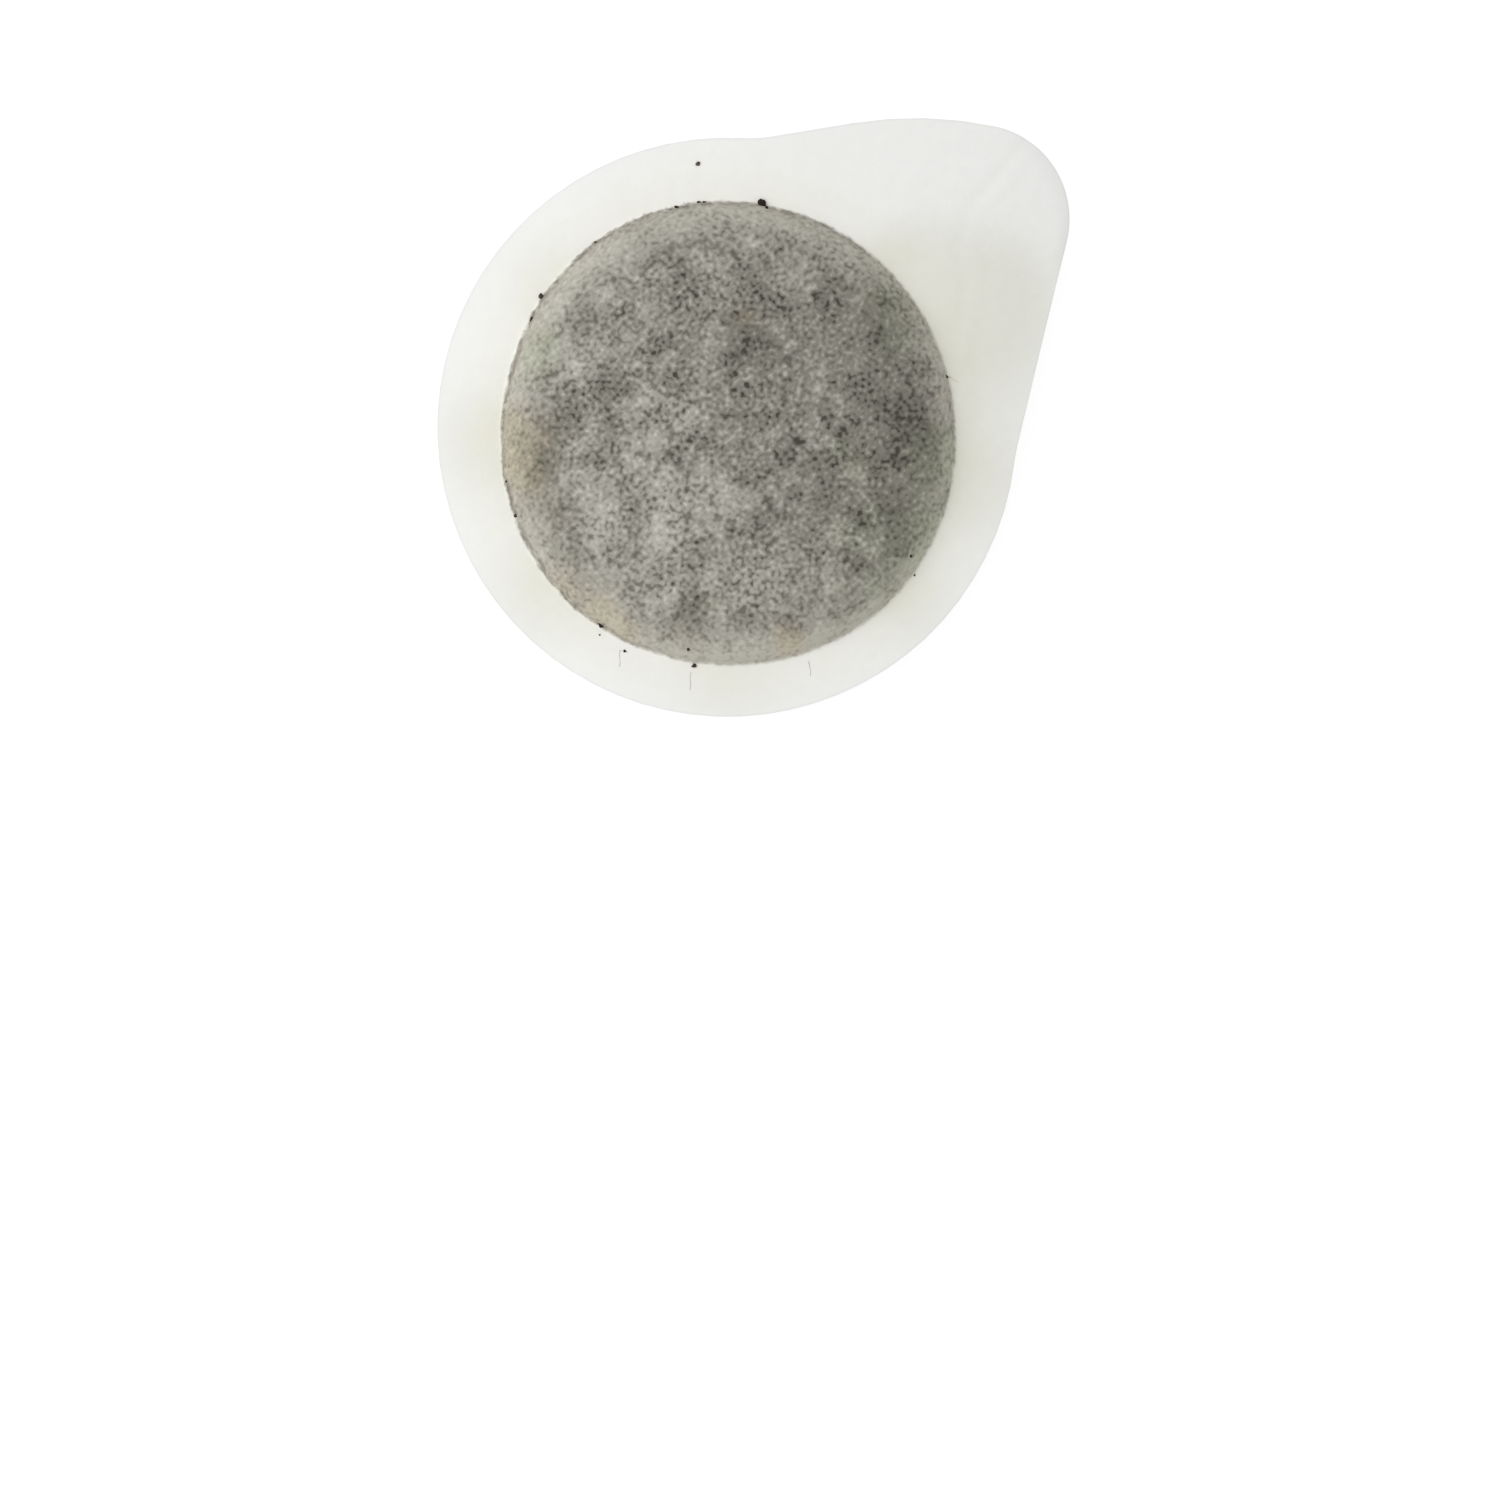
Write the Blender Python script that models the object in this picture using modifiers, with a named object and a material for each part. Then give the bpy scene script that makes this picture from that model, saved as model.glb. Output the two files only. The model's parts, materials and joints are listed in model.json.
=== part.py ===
"""Espresso pod: a pressed coffee puck heat-sealed between two formed filter papers.

Units are metres and +Z is up. The origin is the centre of the cup's flat floor, on the axis of the cup.
The pull tab points along +X. The two papers meet face to face on the seam plane.
"""

import math

import bmesh
import bpy
from mathutils import Vector

# The papers
PAPER = 0.00015            # thickness of each filter paper
CREASE_RADIUS = 0.0005     # bend where the cap and the cup turn out into the collar

# The cup in the lower paper
MOUTH_DIAMETER = 0.044     # crease circle, where the paper leaves the coffee
CUP_DEPTH = 0.0062         # from the resting face up to the seam plane
CUP_WALL_RUN = 0.0030      # how far the sloping wall comes in on its way down
CUP_CORNER_RADIUS = 0.0028

# The cap in the upper paper
CAP_HEIGHT = 0.0036        # from the seam plane up to the middle of the crown
CAP_WALL_RUN = 0.0017      # how far the sloping wall comes in on its way up
CAP_SHOULDER_RADIUS = 0.0042
CROWN_SWELL = 0.0009       # how much higher the middle of the crown is than a flat one
CROWN_RINGS = 4

# The coffee
PUCK_CLEARANCE = 0.0003    # between the coffee and the cap
PUCK_EDGE_GAP = 0.0006     # between the coffee's widest line and the crease
PUCK_CORNER_EASE = 0.0006  # how much rounder the coffee's edges are than the paper round them

# The die-cut outline: a round collar that runs out into a lopsided pull tab
COLLAR_WIDTH = 0.0057
DIE_SHIFT_X = 0.0003       # the die lies a little off the cup's axis
DIE_SHIFT_Y = 0.00055
TAB_LENGTH = 0.0123        # how far the tab reaches past the collar's circle
TAB_CORNER_RADIUS = 0.00895
TAB_CORNER_SIDE = 0.00174  # how far the corner's centre lies to the -Y side of the tab's axis
TAB_END_RADIUS = 0.037     # the long bowed end
TAB_END_ANGLE = math.radians(34.7)   # direction in which the corner passes into the bowed end
WAIST_RADIUS = 0.0122      # the hollow where the collar turns into the tab
NEAR_WAIST_INSET = 0.00028   # how far inside the collar's circle the flank at -Y runs
FAR_WAIST_INSET = 0.00097    # the same for the flank at +Y

# How finely the round shapes are drawn
TURNED_STEPS = 72
ARC_STEP = math.radians(12)
OUTLINE_STEP = math.radians(5)
SHARP_ANGLE = math.radians(40)
MERGE_DISTANCE = 0.00001
LONGEST_BEND = 0.98        # share of a straight side that the bends at its ends may take up

PAPER_COLOUR = (0.83, 0.83, 0.78, 1.0)
PAPER_ROUGHNESS = 0.9
COFFEE_COLOUR = (0.045, 0.030, 0.021, 1.0)
COFFEE_ROUGHNESS = 0.85

MOUTH_RADIUS = MOUTH_DIAMETER / 2
COLLAR_RADIUS = MOUTH_RADIUS + COLLAR_WIDTH
DIE_CENTRE = Vector((DIE_SHIFT_X, DIE_SHIFT_Y))
WEB_RADIUS = COLLAR_RADIUS + TAB_LENGTH + COLLAR_WIDTH   # the paper before it is cut
SEAM_HEIGHT = CUP_DEPTH
POD_HEIGHT = CUP_DEPTH + CAP_HEIGHT


def clear_scene():
    for thing in list(bpy.data.objects):
        bpy.data.objects.remove(thing, do_unlink=True)


def new_collection(name):
    collection = bpy.data.collections.new(name)
    bpy.context.scene.collection.children.link(collection)
    return collection


def new_material(name, colour, roughness):
    material = bpy.data.materials.new(name)
    material.use_nodes = True
    material.diffuse_color = colour
    shader = material.node_tree.nodes["Principled BSDF"]
    shader.inputs["Base Color"].default_value = colour
    shader.inputs["Roughness"].default_value = roughness
    shader.inputs["Metallic"].default_value = 0.0
    return material


def direction(angle):
    return Vector((math.cos(angle), math.sin(angle)))


def angle_of(vector):
    return math.atan2(vector.y, vector.x)


def arc(centre, radius, start, end, step):
    """Points on an arc from one angle to another, both ends included."""
    count = max(1, round(abs(end - start) / step))
    return [centre + direction(start + (end - start) * i / count) * radius for i in range(count + 1)]


def rounded(corners):
    """Open line through corners (point, radius), each bend as long as the two sides beside it allow."""
    points = [Vector(point) for point, _ in corners]
    bends = range(1, len(points) - 1)
    sides = {i: (points[i - 1] - points[i], points[i + 1] - points[i]) for i in bends}
    half_turns = {i: (math.pi - before.angle(after)) / 2 for i, (before, after) in sides.items()}
    wanted = [0.0] * len(points)
    modest = [0.0] * len(points)
    for i in bends:
        before, after = sides[i]
        wanted[i] = corners[i][1] * math.tan(half_turns[i])
        modest[i] = min(wanted[i], before.length / 2, after.length / 2)
    line = [points[0]]
    for i in bends:
        before, after = sides[i]
        room = min(before.length - modest[i - 1], after.length - modest[i + 1])
        reach = min(wanted[i], room * LONGEST_BEND)
        radius = reach / math.tan(half_turns[i])
        inward = (before.normalized() + after.normalized()).normalized()
        middle = points[i] + inward * math.hypot(reach, radius)
        first = angle_of(points[i] + before.normalized() * reach - middle)
        last = angle_of(points[i] + after.normalized() * reach - middle)
        line += arc(middle, radius, first, first + math.remainder(last - first, math.tau), ARC_STEP)
    return line + [points[-1]]


def swollen(line):
    """Lift the flat top of a half section into a low dome, which fades out towards the mouth and the seam."""
    flat_top = line[0].y
    rings = [line[0].lerp(line[1], i / CROWN_RINGS) for i in range(CROWN_RINGS)]
    lifted = []
    for point in rings + line[1:]:
        outward = min(point.x / MOUTH_RADIUS, 1.0)
        upward = max(point.y - SEAM_HEIGHT, 0.0) / (flat_top - SEAM_HEIGHT)
        lifted.append(Vector((point.x, point.y + CROWN_SWELL * upward * (1 - outward ** 2))))
    return lifted


def turned(name, line, material, collection):
    """Spin a half section (distance from the axis, height) about the Z axis."""
    mesh = bpy.data.meshes.new(name)
    edges = [(i, i + 1) for i in range(len(line) - 1)]
    mesh.from_pydata([(point.x, 0.0, point.y) for point in line], edges, [])
    mesh.materials.append(material)
    piece = bpy.data.objects.new(name, mesh)
    collection.objects.link(piece)
    screw = piece.modifiers.new("turn", "SCREW")
    screw.axis = "Z"
    screw.steps = TURNED_STEPS
    screw.render_steps = TURNED_STEPS
    screw.use_merge_vertices = True
    screw.merge_threshold = MERGE_DISTANCE
    return piece


def evaluated_mesh(piece):
    """A mesh of a curve or of an object as its modifiers leave it."""
    bpy.context.view_layer.update()
    return bpy.data.meshes.new_from_object(piece.evaluated_get(bpy.context.evaluated_depsgraph_get()))


def finish(piece):
    """Apply the modifiers, then shade the curves smooth and keep the cut edges sharp."""
    mesh = evaluated_mesh(piece)
    piece.modifiers.clear()
    piece.data = mesh
    mesh.name = piece.name
    mesh.shade_smooth()
    mesh.set_sharp_from_angle(angle=SHARP_ANGLE)


def flank_normal(corner_centre, corner_radius, inset, side):
    """Outward direction of the straight flank that touches a tab arc and runs inset from the collar."""
    lean = math.acos((COLLAR_RADIUS - inset - corner_radius) / corner_centre.length)
    return angle_of(corner_centre) + side * lean


def waist_centre(normal, inset, side):
    """Centre of the hollow arc that touches the collar's circle and a flank from outside."""
    away = COLLAR_RADIUS - inset + WAIST_RADIUS
    along = math.sqrt((COLLAR_RADIUS + WAIST_RADIUS) ** 2 - away ** 2)
    return direction(normal) * away + direction(normal - side * math.pi / 2) * along


def die_outline():
    """Outline of the collar and tab, anticlockwise from the far waist, about the die's centre."""
    corner = Vector((COLLAR_RADIUS + TAB_LENGTH - TAB_CORNER_RADIUS, -TAB_CORNER_SIDE))
    end = corner - direction(TAB_END_ANGLE) * (TAB_END_RADIUS - TAB_CORNER_RADIUS)
    near = flank_normal(corner, TAB_CORNER_RADIUS, NEAR_WAIST_INSET, -1)
    far = flank_normal(end, TAB_END_RADIUS, FAR_WAIST_INSET, 1)
    near_waist = waist_centre(near, NEAR_WAIST_INSET, -1)
    far_waist = waist_centre(far, FAR_WAIST_INSET, 1)
    near_touch = angle_of(near_waist)
    far_touch = angle_of(far_waist)
    origin = Vector((0.0, 0.0))
    outline = arc(origin, COLLAR_RADIUS, far_touch, near_touch + math.tau, OUTLINE_STEP)
    outline += arc(near_waist, WAIST_RADIUS, near_touch + math.pi, near + math.pi, OUTLINE_STEP)[1:]
    outline += arc(corner, TAB_CORNER_RADIUS, near, TAB_END_ANGLE, OUTLINE_STEP)
    outline += arc(end, TAB_END_RADIUS, TAB_END_ANGLE, far, OUTLINE_STEP)[1:]
    outline += arc(far_waist, WAIST_RADIUS, far + math.pi, far_touch + math.pi, OUTLINE_STEP)[:-1]
    return outline


def make_die(collection):
    """The cutting die: the outline raised over the whole height of the pod, as a guide that isn't kept."""
    outline = die_outline()
    curve = bpy.data.curves.new("die outline", "CURVE")
    curve.dimensions = "2D"
    curve.fill_mode = "BOTH"
    curve.extrude = POD_HEIGHT
    spline = curve.splines.new("POLY")
    spline.points.add(len(outline) - 1)
    for control, point in zip(spline.points, outline):
        control.co = (point.x, point.y, 0.0, 1.0)
    spline.use_cyclic_u = True
    guide = bpy.data.objects.new("die outline", curve)
    guide.location = (DIE_CENTRE.x, DIE_CENTRE.y, POD_HEIGHT / 2)
    collection.objects.link(guide)
    mesh = evaluated_mesh(guide)
    welded = bmesh.new()
    welded.from_mesh(mesh)
    bmesh.ops.remove_doubles(welded, verts=welded.verts, dist=MERGE_DISTANCE)
    bmesh.ops.recalc_face_normals(welded, faces=welded.faces)
    welded.to_mesh(mesh)
    welded.free()
    die = bpy.data.objects.new("die", mesh)
    die.matrix_world = guide.matrix_world
    die.hide_render = True
    die.display_type = "WIRE"
    collection.objects.link(die)
    bpy.data.objects.remove(guide, do_unlink=True)
    return die


def make_paper(name, line, die, material, collection):
    """A filter paper: the formed face next to the coffee, thickened outwards and cut by the die."""
    paper = turned(name, line, material, collection)
    wall = paper.modifiers.new("thickness", "SOLIDIFY")
    wall.thickness = PAPER
    wall.offset = 1.0
    wall.use_even_offset = True
    cut = paper.modifiers.new("die cut", "BOOLEAN")
    cut.operation = "INTERSECT"
    cut.solver = "EXACT"
    cut.object = die
    finish(paper)


def cap_line():
    """Inner face of the cap, from the crown's middle out to the edge of the web."""
    flat_top = SEAM_HEIGHT + CAP_HEIGHT - PAPER - CROWN_SWELL
    return swollen(rounded([
        ((0.0, flat_top), 0.0),
        ((MOUTH_RADIUS - CAP_WALL_RUN, flat_top), CAP_SHOULDER_RADIUS),
        ((MOUTH_RADIUS, SEAM_HEIGHT), CREASE_RADIUS),
        ((WEB_RADIUS, SEAM_HEIGHT), 0.0),
    ]))


def cup_line():
    """Inner face of the cup, from the edge of the web in to the floor's middle."""
    return rounded([
        ((WEB_RADIUS, SEAM_HEIGHT), 0.0),
        ((MOUTH_RADIUS, SEAM_HEIGHT), CREASE_RADIUS),
        ((MOUTH_RADIUS - CUP_WALL_RUN, PAPER), CUP_CORNER_RADIUS),
        ((0.0, PAPER), 0.0),
    ])


def puck_line():
    """Outer face of the coffee, which stands on the cup's floor and keeps clear of the rest of the papers."""
    flat_top = SEAM_HEIGHT + CAP_HEIGHT - PAPER - CROWN_SWELL - PUCK_CLEARANCE
    edge = MOUTH_RADIUS - PUCK_EDGE_GAP
    return swollen(rounded([
        ((0.0, flat_top), 0.0),
        ((edge - CAP_WALL_RUN, flat_top), CAP_SHOULDER_RADIUS + PUCK_CORNER_EASE),
        ((edge, SEAM_HEIGHT), CREASE_RADIUS),
        ((edge - CUP_WALL_RUN, PAPER), CUP_CORNER_RADIUS + PUCK_CORNER_EASE),
        ((0.0, PAPER), 0.0),
    ]))


clear_scene()
pod = new_collection("espresso_pod")
cutters = new_collection("cutters")
die = make_die(cutters)
upper_paper = new_material("upper paper", PAPER_COLOUR, PAPER_ROUGHNESS)
lower_paper = new_material("lower paper", PAPER_COLOUR, PAPER_ROUGHNESS)
coffee = new_material("ground coffee", COFFEE_COLOUR, COFFEE_ROUGHNESS)
make_paper("upper_filter_paper", cap_line(), die, upper_paper, pod)
make_paper("lower_filter_paper", cup_line(), die, lower_paper, pod)
finish(turned("coffee_puck", puck_line(), coffee, pod))
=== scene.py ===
import json
import math

import bpy
import numpy as np
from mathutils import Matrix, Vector, noise

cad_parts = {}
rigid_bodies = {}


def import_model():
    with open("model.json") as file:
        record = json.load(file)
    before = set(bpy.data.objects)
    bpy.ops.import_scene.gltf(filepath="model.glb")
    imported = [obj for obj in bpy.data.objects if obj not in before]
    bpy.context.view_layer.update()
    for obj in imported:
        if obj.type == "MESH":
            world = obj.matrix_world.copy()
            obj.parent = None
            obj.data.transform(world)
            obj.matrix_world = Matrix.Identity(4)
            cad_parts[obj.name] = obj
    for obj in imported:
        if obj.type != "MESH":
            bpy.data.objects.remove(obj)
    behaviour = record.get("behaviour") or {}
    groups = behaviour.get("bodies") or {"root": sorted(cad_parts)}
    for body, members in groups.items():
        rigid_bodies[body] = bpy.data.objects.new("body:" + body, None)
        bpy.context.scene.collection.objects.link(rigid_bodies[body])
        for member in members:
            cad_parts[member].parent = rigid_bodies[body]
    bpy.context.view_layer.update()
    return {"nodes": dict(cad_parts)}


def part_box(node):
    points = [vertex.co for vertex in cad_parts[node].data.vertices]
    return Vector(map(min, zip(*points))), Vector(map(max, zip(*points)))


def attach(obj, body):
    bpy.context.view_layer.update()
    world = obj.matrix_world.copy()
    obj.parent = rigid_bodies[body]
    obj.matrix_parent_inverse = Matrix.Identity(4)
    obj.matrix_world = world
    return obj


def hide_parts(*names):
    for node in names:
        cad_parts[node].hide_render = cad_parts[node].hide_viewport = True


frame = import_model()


# Lower filter paper
# A web of heat-sealing filter paper that a round punch has pressed into a cup for the dose, which puckers
# the cup's wall. The paper left flat round the cup is the collar, and the die that cuts it out leaves the
# pull tab.
PAPER = 0.00015              # thickness of each paper
CREASE_RADIUS = 0.022        # circle on which the paper turns out into the collar
CREASE_BEND = 0.0005         # radius of that turn
CUP_WALL_RUN = 0.0030        # how far the sloping wall comes in on its way down
CUP_CORNER_RADIUS = 0.0028
COLLAR_EDGE = 0.0277         # the spun collar's edge, before it is drawn out to the cut
COLLAR_START = 0.0224        # the bend into the collar has ended here
PAPER_STEPS = 600            # facets round the cup
BEND_FACETS = 10
SEAM_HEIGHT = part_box("lower_filter_paper")[1].z
LUMP_SIZE = 0.0045           # lumps left by the forming
LUMP_HEIGHT = 0.00005
PAPER_WHITE = (0.875, 0.875, 0.855, 1.0)


def deselect_all():
    for thing in bpy.context.view_layer.objects:
        thing.select_set(False)


def pick_points(piece, chosen):
    """Select only the vertices for which chosen(place) holds, with Blender in edit mode afterwards."""
    bpy.context.tool_settings.mesh_select_mode = (True, False, False)
    for part in (piece.data.edges, piece.data.polygons):
        part.foreach_set("select", [False] * len(part))
    piece.data.vertices.foreach_set("select", [chosen(vertex.co) for vertex in piece.data.vertices])
    bpy.ops.object.mode_set(mode="EDIT")


def half_section(name, corners, bends, cuts):
    """A wire half section through corners (radius, height), with rounded bends {corner: radius} and cuts
    {corner: count} in the straight run that follows a corner."""
    deselect_all()
    bpy.ops.mesh.primitive_plane_add(size=PAPER)
    piece = bpy.context.object
    piece.name = name
    piece.data.name = name
    bpy.ops.object.mode_set(mode="EDIT")
    bpy.ops.mesh.select_all(action="SELECT")
    bpy.ops.mesh.merge(type="CENTER")
    places = [Vector((radius, 0.0, height)) for radius, height in corners]
    bpy.ops.transform.translate(value=places[0])
    for before, after in zip(places, places[1:]):
        bpy.ops.mesh.extrude_region_move(TRANSFORM_OT_translate={"value": after - before})
    bpy.ops.object.mode_set(mode="OBJECT")
    for corner, radius in bends.items():
        inward = places[corner - 1] - places[corner]
        outward = places[corner + 1] - places[corner]
        reach = radius / math.tan(inward.angle(outward) / 2)
        pick_points(piece, lambda place: (place - places[corner]).length < PAPER / 10)
        bpy.ops.mesh.bevel(offset=reach, segments=BEND_FACETS, affect="VERTICES")
        bpy.ops.object.mode_set(mode="OBJECT")
    on_line = PAPER / 150   # less than the first facet of a bend leaves the straight run
    for corner, count in cuts.items():
        along = (places[corner + 1] - places[corner]).normalized()
        pick_points(piece, lambda place: (place - places[corner]).cross(along).length < on_line)
        bpy.ops.mesh.subdivide(number_cuts=count)
        bpy.ops.object.mode_set(mode="OBJECT")
    return piece


def spin_round(piece, upward):
    """Turn a half section about the cup's axis, close the seam and face the sheet up or down."""
    pick_points(piece, lambda place: True)
    bpy.ops.mesh.spin(steps=PAPER_STEPS, angle=math.tau, center=(0, 0, 0), axis=(0, 0, 1))
    bpy.ops.mesh.select_all(action="SELECT")
    bpy.ops.mesh.remove_doubles(threshold=PAPER / 100)
    bpy.ops.mesh.normals_make_consistent(inside=False)
    bpy.ops.object.mode_set(mode="OBJECT")
    if (piece.data.polygons[0].normal.z > 0) != upward:
        piece.data.flip_normals()


def read_points(piece):
    points = np.empty(len(piece.data.vertices) * 3)
    piece.data.vertices.foreach_get("co", points)
    return points.reshape(-1, 3)


def write_points(piece, points):
    piece.data.vertices.foreach_set("co", points.ravel())
    piece.data.update()


def cut_radius(node, angles):
    """Distance from the cup's axis to the die-cut edge of a packed paper, in each direction."""
    mesh = frame["nodes"][node].data
    rim = sorted({(math.atan2(v.co.y, v.co.x), v.co.x, v.co.y) for v in mesh.vertices
                  if v.co.xy.length > COLLAR_START + PAPER})
    rim = np.array([rim[-1]] + rim + [rim[0]])
    after = np.searchsorted(rim[1:-1, 0], angles) + 1
    start, end = rim[after - 1, 1:], rim[np.minimum(after, len(rim) - 1), 1:]
    along = end - start
    ray = np.stack([np.cos(angles), np.sin(angles)], axis=1)
    across = ray[:, 0] * along[:, 1] - ray[:, 1] * along[:, 0]
    return (start[:, 0] * along[:, 1] - start[:, 1] * along[:, 0]) / across


def soft_step(values, start, end):
    share = np.clip((values - start) / (end - start), 0, 1)
    return share * share * (3 - 2 * share)


MOUTH_WARP = (                # the mouth isn't quite round: (waves round it, size, direction of a wave)
    (1, 0.00010, math.radians(174)),
    (2, 0.00024, math.radians(58)),
    (3, 0.00012, math.radians(54)),
    (4, 0.00010, math.radians(-3)),
)
TAB_FOLD = [                  # the soft fold across the tab
    (0.0359, 0.0004),
    (0.0310, -0.0002),
    (0.0284, -0.0021),
    (0.0265, -0.0050),
    (0.0238, -0.0070),
    (0.0214, -0.0085),
]
FOLD_TILT = math.tan(math.radians(4.0))   # slope of the paper beyond the fold
FOLD_GROOVE = 0.00010
FOLD_WIDTH = 0.0006
SECOND_FOLD = 0.0020         # distance of a fainter groove from the fold
TIP_CURL = 0.00016           # how far the tab's tip curls down, over the last millimetre
TIP_CURL_WIDTH = 0.0010
COLLAR_WAVES = (              # (waves round the collar, size, where they start)
    (3, 0.00010, 0.6),
    (5, 0.00007, 2.1),
    (11, 0.00003, 0.0),
)


def beside_fold(points):
    """Distance from the fold across the tab, or from the lines that carry its ends on. It is above 0 on the
    fold's -Y side."""
    nearest = np.full(len(points), np.inf)
    last = len(TAB_FOLD) - 2
    for number, (start, end) in enumerate(zip(np.array(TAB_FOLD), np.array(TAB_FOLD[1:]))):
        along = end - start
        away = points[:, :2] - start
        low = 0 if number else None
        high = None if number == last else 1
        share = np.clip(away @ along / (along @ along), low, high)
        gap = away - share[:, None] * along
        side = np.sign(along[0] * away[:, 1] - along[1] * away[:, 0])
        distance = np.hypot(gap[:, 0], gap[:, 1]) * side
        nearest = np.where(np.abs(distance) < np.abs(nearest), distance, nearest)
    return nearest


def collar_lift(points, share, margin):
    """How far the sealed collar and tab stand above the seam plane. share runs from 0 at the crease to 1 at
    the cut, and margin is the distance from the cut."""
    angle = np.arctan2(points[:, 1], points[:, 0])
    ripple = sum(size * np.sin(waves * angle + start) for waves, size, start in COLLAR_WAVES)
    fold = beside_fold(points)
    reach = soft_step(share, 0.0, 0.35) * soft_step(angle, math.radians(-52), math.radians(-24))
    reach = reach * (1 - soft_step(angle, math.radians(2), math.radians(14)))
    dip = FOLD_TILT * 0.5 * (fold + np.hypot(fold, FOLD_WIDTH))
    dip = dip + FOLD_GROOVE * np.exp(-(fold / FOLD_WIDTH) ** 2)
    dip += 0.3 * FOLD_GROOVE * np.exp(-((fold - SECOND_FOLD) / FOLD_WIDTH) ** 2)
    tip = soft_step(angle, math.radians(-20), math.radians(-13))
    tip = tip * (1 - soft_step(angle, 0.0, math.radians(5)))
    curl = TIP_CURL * tip * np.clip(1 - margin / TIP_CURL_WIDTH, 0, 1) ** 2
    return ripple * share ** 1.5 - dip * reach - curl


PLEAT_WIDTH = 0.00020        # half the width of the narrowest pleat
WIDER = 0.00030              # how much more half the widest one is
PLEAT_START = 0.0012         # range in which pleats begin, outwards from the first
PLEAT_RISE = 0.0014          # length over which a pleat comes out of the plain wall
SLANT = 0.7                  # share of a pleat's depth sideways, and as much of it upright


def pleats(count, depth, inner, angle, radius):
    """How far narrow pleats dent the wall inwards, or below 0 stand out of it. They run down the wall from
    the crease, each with its own depth, width and length."""
    draw = np.random.default_rng(count)
    dent = np.zeros(len(angle))
    for _ in range(count):
        place, width, deep, start = draw.random(4)
        away = np.remainder(angle - place * math.tau + math.pi, math.tau) - math.pi
        away = away * CREASE_RADIUS / (PLEAT_WIDTH + WIDER * width)
        begin = inner + PLEAT_START * start
        length = soft_step(radius, begin, begin + PLEAT_RISE)
        dent += depth * (1.2 * deep - 1.0) * np.exp(-away ** 2) * length
    return dent * (1 - soft_step(radius, 0.0217, 0.0222))


def store(piece, label, values):
    layer = piece.data.attributes.new(label, "FLOAT", "POINT")
    layer.data.foreach_set("value", values.astype(np.float32))


def form_paper(piece, node, upward, pleat_count, pleat_depth, pleat_start):
    """Move the spun sheet's points: the collar out to the die cut, and all of it by the unevenness of formed
    paper. The distance from the cut and the distance along the section are stored for the material."""
    points = read_points(piece)
    radius = np.hypot(points[:, 0], points[:, 1])
    angle = np.arctan2(points[:, 1], points[:, 0])
    share = np.clip((radius - COLLAR_START) / (radius.max() - COLLAR_START), 0, 1)
    edge = cut_radius(node, angle)
    warp = sum(size * np.cos(waves * (angle - peak)) for waves, size, peak in MOUTH_WARP)
    start = COLLAR_START + warp
    bulged = radius + warp * soft_step(radius, 0.0120, 0.0200)
    stretched = np.where(radius > COLLAR_START, start + share * (edge - start), bulged)
    scale = stretched / np.maximum(radius, PAPER)
    points[:, 0] *= scale
    points[:, 1] *= scale
    points[:, 2] += collar_lift(points, share, edge - stretched)
    dent = pleats(pleat_count, pleat_depth, pleat_start, angle, radius)
    points[:, 0] -= SLANT * dent * np.cos(angle)
    points[:, 1] -= SLANT * dent * np.sin(angle)
    lump = np.array([noise.noise(Vector(point) / LUMP_SIZE) for point in points]) * LUMP_HEIGHT
    inside = 1 - soft_step(stretched, 0.0205, 0.0220)
    raised = lump if upward else np.abs(lump)
    pushed = SLANT * dent if upward else -SLANT * dent
    points[:, 2] += raised * inside - pushed
    write_points(piece, points)
    store(piece, "margin", edge - stretched)
    store(piece, "section", np.where(radius > COLLAR_START, COLLAR_START + stretched - start, radius))


def soft_spots(piece, label, spots):
    """Store soft round spots (x, y, radius, strength) on the sheet's points, for its material to read."""
    points = read_points(piece)
    total = np.zeros(len(points))
    for x, y, radius, change in spots:
        total += change * np.exp(-((points[:, 0] - x) ** 2 + (points[:, 1] - y) ** 2) / radius ** 2)
    store(piece, label, total)


def thicken(piece):
    wall = piece.modifiers.new("thickness", "SOLIDIFY")
    wall.thickness = PAPER
    wall.offset = 1.0
    wall.use_even_offset = True
    bpy.context.view_layer.objects.active = piece
    bpy.ops.object.modifier_apply(modifier=wall.name)
    bpy.ops.object.shade_smooth_by_angle(angle=math.radians(40))


def new_material(name):
    material = bpy.data.materials.new(name)
    material.use_nodes = True
    return material, material.node_tree, material.node_tree.nodes["Principled BSDF"].inputs


def feed(tree, socket, value):
    """Join a socket to another one, or set it to a value."""
    if isinstance(value, bpy.types.NodeSocket):
        tree.links.new(value, socket)
    else:
        socket.default_value = value


def add(tree, kind, inputs, **settings):
    """Add a node with these settings and inputs."""
    node = tree.nodes.new(kind)
    for name, value in settings.items():
        setattr(node, name, value)
    for name, value in inputs.items():
        feed(tree, node.inputs[name], value)
    return node


def reckon(tree, operation, first, second=0.0, third=0.0):
    return add(tree, "ShaderNodeMath", {0: first, 1: second, 2: third}, operation=operation).outputs[0]


def fade(tree, value, start, end, low=0.0, high=1.0):
    """A smooth change from low to high while value runs from start to end."""
    inputs = {"Value": value, "From Min": start, "From Max": end, "To Min": low, "To Max": high}
    return add(tree, "ShaderNodeMapRange", inputs, interpolation_type="SMOOTHSTEP").outputs["Result"]


def mix_colours(tree, share, first, second, blend="MIX"):
    node = add(tree, "ShaderNodeMix", {0: share, 6: first, 7: second}, data_type="RGBA", blend_type=blend)
    return node.outputs[2]


def colour_ramp(tree, value, stops):
    node = add(tree, "ShaderNodeValToRGB", {"Fac": value})
    for place, _ in stops[2:]:
        node.color_ramp.elements.new(place)
    for element, (place, colour) in zip(node.color_ramp.elements, stops):
        element.position = place
        element.color = (*colour, 1.0)
    return node.outputs["Color"]


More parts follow.
